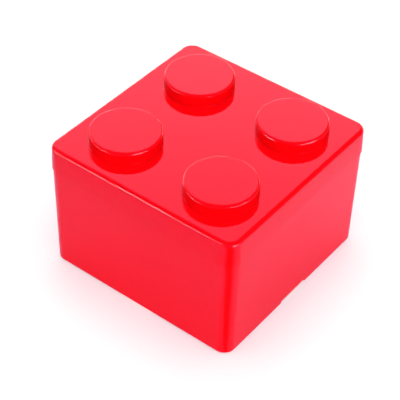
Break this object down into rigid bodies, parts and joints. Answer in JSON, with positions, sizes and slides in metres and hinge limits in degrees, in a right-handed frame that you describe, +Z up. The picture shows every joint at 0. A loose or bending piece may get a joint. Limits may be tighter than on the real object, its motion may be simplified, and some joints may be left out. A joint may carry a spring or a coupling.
{
  "type": "building-block storage box",
  "caption": "Stackable square plastic storage box shaped like a toy building block, with a lift-off cap lid that carries round hollow studs.",
  "frame": {"origin": "centre of the box's footprint, on the surface that it stands on", "axes": "+Z up, the way the lid lifts; +X and -Y the two sides that the picture shows, with the visible foot notch on the +X side"},
  "size_m": [0.0802, 0.0802, 0.0568],
  "materials": {
    "box_plastic": "glossy moulded polypropylene or ABS, saturated red",
    "lid_plastic": "glossy moulded polypropylene or ABS, saturated red"
  },
  "bodies": {
    "box": {"box": "box_plastic"},
    "lid": {"lid": "lid_plastic"}
  },
  "joints": [
    {"name": "lid_lift", "type": "slide", "parent": "box", "child": "lid", "axis": [0, 0, 1], "range_m": [0, 0.08]}
  ]
}
